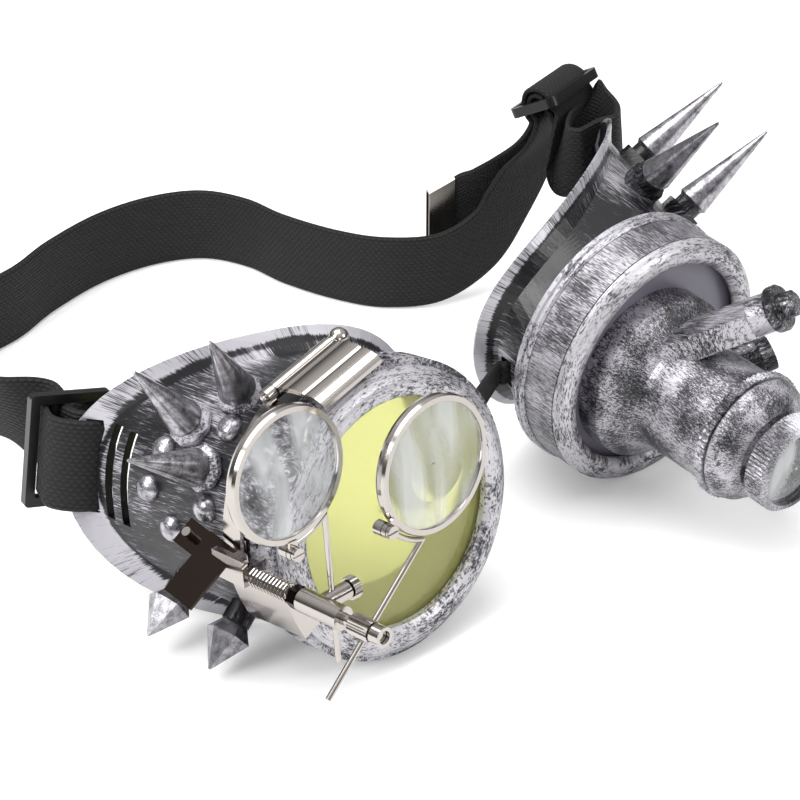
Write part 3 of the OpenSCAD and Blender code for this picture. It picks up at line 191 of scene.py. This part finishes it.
# Scope: a base with its tube, a toothed ring that turns on it, a domed collar, a knurled eyepiece and a side
# lever, moulded in black ABS and dry-brushed in every direction, so their grain is a fine speckle.
dress("scope_base", dry_brushed("dry-brushed ABS, scope", RIGHT_CUP, (45, 700, 900), 0.5, patch=90, weight=0.6))
dress("scope_tooth_ring", dry_brushed("dry-brushed ABS, teeth", RIGHT_CUP, (40, 900, 900), 0.52))
collar = dry_brushed("dry-brushed ABS, scope collar", RIGHT_CUP, (40, 900, 900), 0.54, patch=130, weight=0.5)
dress("scope_collar", collar)
dress("eyepiece", dry_brushed("dry-brushed ABS, eyepiece", RIGHT_CUP, (60, 900, 900), 0.52))
dress("lever_arm", dry_brushed("dry-brushed ABS, lever", RIGHT_CUP, (40, 500, 500), 0.56, rough=0.28))

# Spike collars of the left cup: faceted rings moulded in black ABS, clamped under the long spikes.
# Silver covers most of their facets.
collars = dry_brushed("dry-brushed ABS, spike collars", LEFT_CUP, (40, 700, 700), 0.62, rough=0.3)
dress("left_spike_collars", collars)

# Black fittings: the short spikes' collars, the right spikes' nuts, the lever's cap, the side port and its
# knob. They are glossy black ABS with a little silver left on their edges.
fittings = dry_brushed("worn black ABS", RIGHT_CUP, (60, 700, 700), 0.3, rough=0.22)
dress("left_short_collars right_spike_nuts lever_end_cap side_port side_knob", fittings)

# Spikes and rivets: turned zinc studs with a nickel plate, screwed on from inside the cups.
# The plate is bright where it is rubbed and cloudy grey between, in patches about 2.5 mm wide.
plate, t, s = material("nickel-plated zinc", "#b4b2b6", Metallic=0.9, Roughness=0.27)
PATCH = 420.0
wear = {"Vector": add(t, "TexCoord", out="Object"), "Scale": PATCH, "Detail": 5.0, "Roughness": 0.75}
wear = add(t, "TexNoise", wear)
wear = add(t, "ValToRGB", (wear,), stops=[(0.36, "#6a686e"), (0.47, "#98969b"), (0.6, "#bcbabf")])
t.links.new(wear, s.inputs["Base Color"])
dress("left_spikes left_short_spikes left_rivets right_spikes", plate)

# Screws and lock ring: cut from plain mild steel and hidden inside the cups.
# Unpolished, so they give a dull grey sheen.
steel = material("plain mild steel", "#8d8a86", Metallic=1.0, Roughness=0.4)[0]
dress("left_spike_screws right_spike_screws scope_lock_ring", steel)

# Clip of the double loupe: a band round the left cup with two jaws, a pin, hooks, a thumb screw, and the
# spindle with its spring, clamps, wire arms and loupe rings. Bent and turned steel, plated in bright nickel,
# which mirrors the room with a warm tint.
nickel = material("bright nickel plate", "#b9b3ae", Metallic=1.0, Roughness=0.14)[0]
dress(
    "clip_spine clip_upper_jaw clip_jaw_pin clip_lower_jaw clip_wire_hooks clip_thumb_screw spindle_bracket spindle "
    "swing_spring left_arm_clamp left_arm_screw left_arm left_loupe_ring left_lug_screw right_arm_clamp right_arm "
    "right_loupe_ring right_lug_screw spindle_end_nut",
    nickel,
)

# Lever plate and spring collar of the clip: blackened steel, polished until it mirrors the room in brown.
blackened = material("polished blackened steel", "#3a322d", Metallic=1.0, Roughness=0.1)[0]
dress("clip_lever_plate spring_collar", blackened)

# Loupe lenses and the eyepiece's lens: discs of ground and polished optical glass, held in their rings.
# They catch the soft boxes as long milky streaks, which stand in for the reflections of a curved face.
STREAKS = {"Rotation": (0.3, 0.5, 0.6), "Scale": (160, 25, 40)}
glass, t, s = material("polished optical glass", "#eef0f1", Roughness=0.03, IOR=1.5)
streaks = add(t, "Mapping", {"Vector": add(t, "TexCoord", out="Object"), **STREAKS})
streaks = add(t, "TexNoise", {"Vector": streaks, "Scale": 1.0, "Detail": 1.0, "Roughness": 0.6})
streaks = add(t, "ValToRGB", (streaks,), stops=[(0.4, 1.0), (0.62, 0.55)])
t.links.new(streaks, s.inputs["Transmission Weight"])
dress("left_loupe_lens right_loupe_lens eyepiece_lens", glass)

# Temple loop: a short piece of woven elastic, sewn end to end. It goes out through the slot by the lip,
# round the buckle's centre bar and back inside. LOOP holds its centre and width direction in millimetres.
STRAP_W, STRAP_T = 0.021, 0.0015
RIB, PICK = 0.00095, 0.0016
LOOP = [
    (-81.6, -5.6, 32.0, 0.21, 0.04, 0.98),
    (-83.5, -5.4, 32.4, 0.21, 0.04, 0.98),
    (-85.4, -4.7, 32.8, 0.21, 0.04, 0.98),
    (-87.5, -3.2, 33.2, 0.21, 0.04, 0.98),
    (-89.3, -1.0, 33.5, 0.21, 0.04, 0.98),
    (-90.0, 1.6, 33.5, 0.21, 0.04, 0.98),
    (-89.1, 4.3, 33.2, 0.21, 0.04, 0.98),
    (-87.4, 7.4, 32.7, 0.21, 0.04, 0.98),
    (-86.9, 8.5, 32.5, 0.21, 0.04, 0.98),
    (-85.9, 9.1, 32.3, 0.21, 0.04, 0.98),
    (-84.7, 9.0, 32.1, 0.21, 0.04, 0.98),
    (-83.8, 8.2, 31.9, 0.21, 0.04, 0.98),
    (-83.6, 7.0, 31.9, 0.21, 0.04, 0.98),
    (-83.7, 4.1, 32.0, 0.21, 0.04, 0.98),
    (-83.5, 1.9, 32.1, 0.21, 0.04, 0.98),
    (-82.1, -0.0, 31.9, 0.21, 0.04, 0.98),
    (-80.5, -2.0, 31.6, 0.21, 0.04, 0.98),
    (-79.9, -3.9, 31.6, 0.21, 0.04, 0.98),
    (-80.3, -5.1, 31.7, 0.21, 0.04, 0.98),
]


def woven_elastic(name):
    """Matt black elastic. Its colour is painted lighter on the crowns of the ribs and picks, a painted highlight, and
    darker in the grooves between them, painted shade; the same height drives the bump. Ribs are |sin| of the place
    across the width, one to a RIB, and picks are a sine of the length, one to a PICK, shifted by half a pick on every
    other rib. Real ribs are finer, and these are as coarse as they need to be to show."""
    m, t, s = material(name, "#1a191b", Roughness=0.8)
    along, across = add(t, "SeparateXYZ", (add(t, "TexCoord", out="UV"),)).node.outputs[:2]
    count = add(t, "Math", (across, RIB), operation="DIVIDE")
    ribs = add(t, "Math", (count, math.pi), operation="MULTIPLY")
    ribs = add(t, "Math", (add(t, "Math", (ribs,), operation="SINE"),), operation="ABSOLUTE")
    phase = add(t, "Math", (along, 2 * math.pi / PICK), operation="MULTIPLY")
    phase = add(t, "Math", (add(t, "Math", (count,), operation="FLOOR"), math.pi, phase), operation="MULTIPLY_ADD")
    pick = add(t, "Math", (add(t, "Math", (phase,), operation="SINE"), 0.5, 0.5), operation="MULTIPLY_ADD")
    pick = add(t, "Math", (pick, 0.55, 0.45), operation="MULTIPLY_ADD")
    yarn = add(t, "Math", (ribs, pick), operation="MULTIPLY")
    # painted highlight and shade: the colour is lighter where the yarn is high and darker in the grooves between
    tone = add(t, "ValToRGB", (yarn,), stops=[(0.0, "#020202"), (0.5, "#0c0c0d"), (1.0, "#232224")])
    t.links.new(tone, s.inputs["Base Color"])
    t.links.new(add(t, "Bump", {"Strength": 0.9, "Distance": 0.00035, "Height": yarn}), s.inputs["Normal"])
    return m


def smooth_rows(rows, steps, closed):
    """Catmull-Rom through the rows, with that many steps to a span: for the rows a, b, c, d and the share u of the
    span, half of 2b + (c - a)u + (2a - 5b + 4c - d)u2 + (3b - a - 3c + d)u3."""
    p = np.vstack([rows[-1:], rows, rows[:2]] if closed else [rows[:1], rows, rows[-1:]])
    u = np.linspace(0, 1, steps, endpoint=False)[None, :, None]
    a, b, c, d = (p[i : len(p) - 3 + i][:, None, :] for i in range(4))
    out = 0.5 * (2 * b + (c - a) * u + (2 * a - 5 * b + 4 * c - d) * u**2 + (3 * b - a - 3 * c + d) * u**3)
    out = out.reshape(-1, rows.shape[1])
    return out if closed else np.vstack([out, rows[-1:]])


def elastic(name, rows, wide, thick, steps, finish, closed=False):
    """A band of elastic: each ring of points is the row's centre + v times half the width along its width direction
    + the face's side times half the thickness along the normal, with v from 1 to -1 on one face and back on the
    other. From |v| = 0.93 the thickness falls off by up to 0.62 with the square of the way to the edge.
    The UV map is the length and the width in metres."""
    rows = smooth_rows(np.array(rows), steps, closed)
    mid = rows[:, :3] / 1000
    side = rows[:, 3:] / np.linalg.norm(rows[:, 3:], axis=1, keepdims=True)
    run = np.roll(mid, -1, axis=0) - np.roll(mid, 1, axis=0) if closed else np.gradient(mid, axis=0)
    up = np.cross(run, side)
    up /= np.linalg.norm(up, axis=1, keepdims=True)
    v = np.linspace(1, -1, 22)
    edge = 1 - np.clip((np.abs(v) - 0.93) / 0.07, 0, 1) ** 2 * 0.62
    section = np.vstack([np.c_[v, -edge], np.c_[v[::-1], edge[::-1]]])
    across, lift = section[:, 0] * wide / 2, section[:, 1] * thick / 2
    points = mid[:, None] + side[:, None] * across[None, :, None] + up[:, None] * lift[None, :, None]
    n, k = len(mid), len(section)
    i, j = np.meshgrid(np.arange(n if closed else n - 1), np.arange(k), indexing="ij")
    ring = np.stack([i, i + 1, i + 1, i], axis=-1)
    spot = np.stack([j, j, j + 1, j + 1], axis=-1) % k
    faces = (ring % n * k + spot).reshape(-1, 4).tolist()
    steps_long = np.linalg.norm(np.diff(np.vstack([mid, mid[:1]]), axis=0), axis=1)
    length = np.concatenate([[0], np.cumsum(steps_long)])
    coords = np.stack([length[ring], across[spot]], axis=-1).reshape(-1, 2)
    if not closed:
        faces += [list(range(k)), list(range((n - 1) * k, n * k))[::-1]]
        cut, far = np.full(k, length[0]), np.full(k, length[n - 1])
        coords = np.vstack([coords, np.c_[cut, across], np.c_[far, across[::-1]]])
    mesh = bpy.data.meshes.new(name)
    mesh.from_pydata(points.reshape(-1, 3).tolist(), [], faces)
    mesh.polygons.foreach_set("use_smooth", [True] * len(mesh.polygons))
    mesh.uv_layers.new(name="run").data.foreach_set("uv", coords.ravel())
    mesh.materials.append(finish)
    piece = bpy.data.objects.new(name, mesh)
    bpy.context.scene.collection.objects.link(piece)
    return piece


loop = elastic("elastic_temple_loop", LOOP, STRAP_W, STRAP_T, 6, woven_elastic("woven elastic, temple"), closed=True)
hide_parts("left_strap_loop")
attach(loop, "goggles")

# Nose strap: a narrow woven elastic between the cups, through a slit in each, with a stop moulded on each end
# inside the cup. NOSE holds its centre and width direction in millimetres, and STOPS those of the stops.
NOSE_W, NOSE_T = 0.006, 0.0016
STOP_W, STOP_T = 0.0084, 0.0056
NOSE = [
    (-27.8, -53.1, 33.8, 0.01, 0.18, 0.98),
    (-23.0, -53.4, 33.8, 0.01, 0.18, 0.98),
    (-20.0, -53.6, 33.8, 0.01, 0.18, 0.98),
    (8.1, -39.3, 30.1, -0.01, -0.09, 1.00),
    (11.1, -39.7, 30.1, -0.01, -0.09, 1.00),
    (17.2, -40.5, 30.1, -0.01, -0.09, 1.00),
]
STOPS = [
    [(-28.5, -53.1, 33.8, 0.01, 0.18, 0.98), (-26.5, -53.2, 33.8, 0.01, 0.18, 0.98)],
    [(15.8, -40.3, 30.1, -0.01, -0.09, 1.0), (17.8, -40.6, 30.1, -0.01, -0.09, 1.0)],
]
nose_elastic = woven_elastic("woven elastic, nose")
nose = elastic("elastic_nose_strap", NOSE, NOSE_W, NOSE_T, 8, nose_elastic)
stops = [elastic("nose_stop", stop, STOP_W, STOP_T, 4, nose_elastic) for stop in STOPS]
with bpy.context.temp_override(active_object=nose, selected_editable_objects=[nose, *stops]):
    bpy.ops.object.join()
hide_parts("nose_strap")
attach(nose, "goggles")

# Head strap: one length of woven elastic, sewn round the buckle's end bar, along the table on its edge, up
# through the slider, round the right slot and back. STRAP holds its centre and width direction in millimetres.
STRAP = [
    (-77.4, 12.2, 30.4, 0.21, 0.04, 0.98),
    (-74.7, 8.7, 29.9, 0.21, 0.04, 0.98),
    (-72.5, 5.5, 29.6, 0.21, 0.04, 0.98),
    (-71.8, 3.5, 29.5, 0.21, 0.04, 0.98),
    (-72.9, 1.6, 29.8, 0.21, 0.04, 0.98),
    (-75.0, 1.2, 30.3, 0.21, 0.04, 0.98),
    (-76.6, 2.6, 30.6, 0.21, 0.04, 0.98),
    (-76.7, 4.6, 30.5, 0.21, 0.04, 0.98),
    (-79.2, 10.2, 30.8, 0.21, 0.04, 0.98),
    (-79.0, 16.2, 32.0, 0.21, 0.04, 0.98),
    (-82.3, 25.2, 33.5, -0.20, -0.20, 0.96),
    (-81.7, 35.2, 31.0, -0.25, -0.25, 0.93),
    (-75.7, 46.2, 25.5, -0.15, -0.20, 0.97),
    (-67.7, 56.2, 19.5, -0.05, -0.10, 0.99),
    (-60.7, 65.2, 14.4, 0.00, 0.00, 1.00),
    (-59.2, 76.2, 11.3, 0.00, 0.00, 1.00),
    (-58.7, 85.2, 10.9, 0.00, 0.00, 1.00),
    (-54.7, 92.2, 10.8, 0.00, 0.00, 1.00),
    (-42.7, 98.7, 10.8, 0.00, 0.00, 1.00),
    (-23.6, 101.2, 10.8, 0.00, 0.00, 1.00),
    (-7.1, 106.7, 10.8, 0.00, 0.00, 1.00),
    (12.9, 110.2, 10.8, 0.00, 0.00, 1.00),
    (30.4, 108.2, 10.8, 0.00, 0.00, 1.00),
    (42.9, 100.9, 10.8, 0.00, 0.00, 1.00),
    (47.9, 87.9, 10.8, 0.00, 0.00, 1.00),
    (47.9, 72.9, 10.8, 0.00, 0.00, 1.00),
    (50.9, 55.7, 10.8, 0.00, 0.00, 1.00),
    (56.9, 42.7, 10.8, 0.00, 0.00, 1.00),
    (67.9, 32.7, 11.8, -0.10, 0.00, 1.00),
    (79.3, 27.2, 18.0, -0.41, 0.00, 0.91),
    (85.3, 24.2, 28.0, -0.81, 0.00, 0.59),
    (89.3, 21.2, 38.0, -0.97, 0.00, 0.25),
    (93.1, 18.6, 47.0, -0.98, -0.21, 0.00),
    (93.2, 15.8, 54.5, -0.98, -0.21, 0.00),
    (93.0, 16.9, 56.9, -0.98, -0.21, 0.00),
    (92.8, 18.0, 59.3, -0.98, -0.21, 0.00),
    (92.9, 17.5, 61.3, -0.98, -0.21, 0.00),
    (93.2, 15.7, 62.2, -0.98, -0.21, 0.00),
    (93.6, 13.9, 61.4, -0.98, -0.21, 0.00),
    (93.9, 12.6, 59.1, -0.98, -0.21, 0.00),
    (94.5, 11.5, 56.9, -0.98, -0.21, 0.00),
    (96.3, 10.6, 54.6, -0.93, -0.19, -0.32),
    (99.3, 9.2, 52.8, -0.52, -0.09, -0.85),
    (102.3, 5.6, 51.2, 0.08, 0.04, -1.00),
    (101.1, -0.0, 50.0, 0.22, 0.07, -0.97),
    (94.8, -4.5, 49.9, 0.22, 0.07, -0.97),
    (91.4, -2.2, 49.0, 0.22, 0.07, -0.97),
    (87.4, -1.4, 48.2, 0.22, 0.07, -0.97),
    (84.9, -0.5, 47.7, 0.22, 0.07, -0.97),
    (83.3, 2.6, 47.4, 0.05, 0.03, -1.00),
    (84.9, 5.8, 49.0, -0.41, -0.07, -0.91),
    (88.7, 8.2, 52.0, -0.86, -0.17, -0.47),
    (94.2, 9.8, 57.8, -0.98, -0.21, 0.00),
    (94.2, 11.2, 59.9, -0.98, -0.21, 0.00),
    (93.9, 12.6, 62.6, -0.98, -0.21, 0.00),
    (93.2, 15.8, 63.9, -0.98, -0.21, 0.00),
    (92.6, 18.9, 62.4, -0.98, -0.21, 0.00),
    (92.4, 19.6, 58.9, -0.98, -0.21, 0.00),
    (92.7, 18.4, 56.1, -0.98, -0.21, 0.00),
    (92.9, 17.3, 53.8, -0.98, -0.21, 0.00),
    (93.1, 21.8, 47.0, -0.98, -0.21, 0.00),
    (89.5, 25.6, 38.0, -0.93, 0.00, 0.36),
    (84.8, 30.7, 29.5, -0.60, 0.00, 0.80),
    (78.8, 35.1, 25.0, -0.15, 0.00, 0.99),
    (75.3, 37.1, 23.2, 0.00, 0.00, 1.00),
    (70.9, 39.4, 21.0, 0.00, 0.00, 1.00),
]
strap = elastic("elastic_head_strap", STRAP, STRAP_W, STRAP_T, 10, woven_elastic("woven elastic, head"))
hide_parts("head_strap")
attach(strap, "goggles")

# Crimp: a strip of nickel-plated steel sheet, folded and pressed over the elastic's cut end.
# It is brighter and softer in its reflections than the clip.
dress("end_crimp", material("nickel-plated sheet", "#a5a19a", Metallic=1.0, Roughness=0.25)[0])

# Buckle and slider: frames with a centre bar, moulded in black acetal and threaded on the elastic.
# They are smooth and half glossy.
dress("left_buckle strap_slider", material("moulded black acetal", "#151416", Roughness=0.3)[0])

# Table: a sheet of white paper. It glows for the camera alone, so that it reaches white in the picture
# and still lights nothing more than paper does.
GLOW = 0.22
bpy.ops.mesh.primitive_plane_add(size=6, location=(0, 0, -0.0001))
floor = bpy.context.object
floor.name = "floor"
paper, t, s = material("matt white paper", "#f4f4f4", Roughness=0.9)
floor.data.materials.append(paper)
s.inputs["Emission Color"].default_value = (1, 1, 1, 1)
glow = add(t, "Math", (add(t, "LightPath", out="Is Camera Ray"), GLOW), operation="MULTIPLY")
t.links.new(glow, s.inputs["Emission Strength"])

# Room: white to the camera. To the object it is dark near the floor and pale above, which gives the metal
# its contrast.
ROOM_LIGHT = 0.8
world = bpy.data.worlds.new("studio")
bpy.context.scene.world = world
world.use_nodes = True
t = world.node_tree
height = add(t, "SeparateXYZ", (add(t, "TexCoord", out="Generated"),), out=2)
room = add(t, "ValToRGB", (height,), stops=[(0.0, 0.05), (0.3, 0.28), (0.55, 0.75), (0.8, 0.95)])
seen = {0: add(t, "LightPath", out="Is Camera Ray"), 6: room, 7: (1, 1, 1, 1)}
back = t.nodes["Background"]
t.links.new(add(t, "Mix", seen, out=2, data_type="RGBA"), back.inputs["Color"])
back.inputs["Strength"].default_value = ROOM_LIGHT


# Lamps: three square soft boxes, over the table, to its left and in front.
def soft_box(name, place, aim, width, power):
    """A square lamp of that width in metres and power in watts, turned from its place to its aim."""
    data = bpy.data.lights.new(name, "AREA")
    data.size = width
    data.energy = power
    lamp = bpy.data.objects.new(name, data)
    bpy.context.scene.collection.objects.link(lamp)
    lamp.location = place
    lamp.rotation_euler = (Vector(aim) - Vector(place)).to_track_quat("-Z", "Y").to_euler()


soft_box("over", (-0.15, 0.1, 0.8), (0, 0, 0), 0.7, 6)
soft_box("side", (-0.75, 0.1, 0.5), (-0.02, -0.03, 0.03), 0.35, 4)
soft_box("front", (0.3, -0.85, 0.55), (0.03, -0.05, 0.03), 0.35, 2.6)

# Camera: its place, turn and lens were fitted to the photograph's view of the cups.
PLACE, AZIMUTH, ELEVATION, LENS = (-0.34424, -0.34334, 0.2923), math.radians(-46.5), math.radians(30), 103.5
camera = bpy.data.objects.new("camera", bpy.data.cameras.new("camera"))
bpy.context.scene.collection.objects.link(camera)
camera.data.lens = LENS
camera.data.clip_start = 0.01
right = Vector((math.cos(AZIMUTH), math.sin(AZIMUTH), 0))
behind = Vector((math.sin(AZIMUTH), -math.cos(AZIMUTH), 0)) * math.cos(ELEVATION)
behind.z = math.sin(ELEVATION)
turn = Matrix((right, behind.cross(right), behind)).transposed().to_4x4()
camera.matrix_world = Matrix.Translation(PLACE) @ turn
bpy.context.scene.camera = camera
bpy.context.scene.view_settings.view_transform = "Standard"
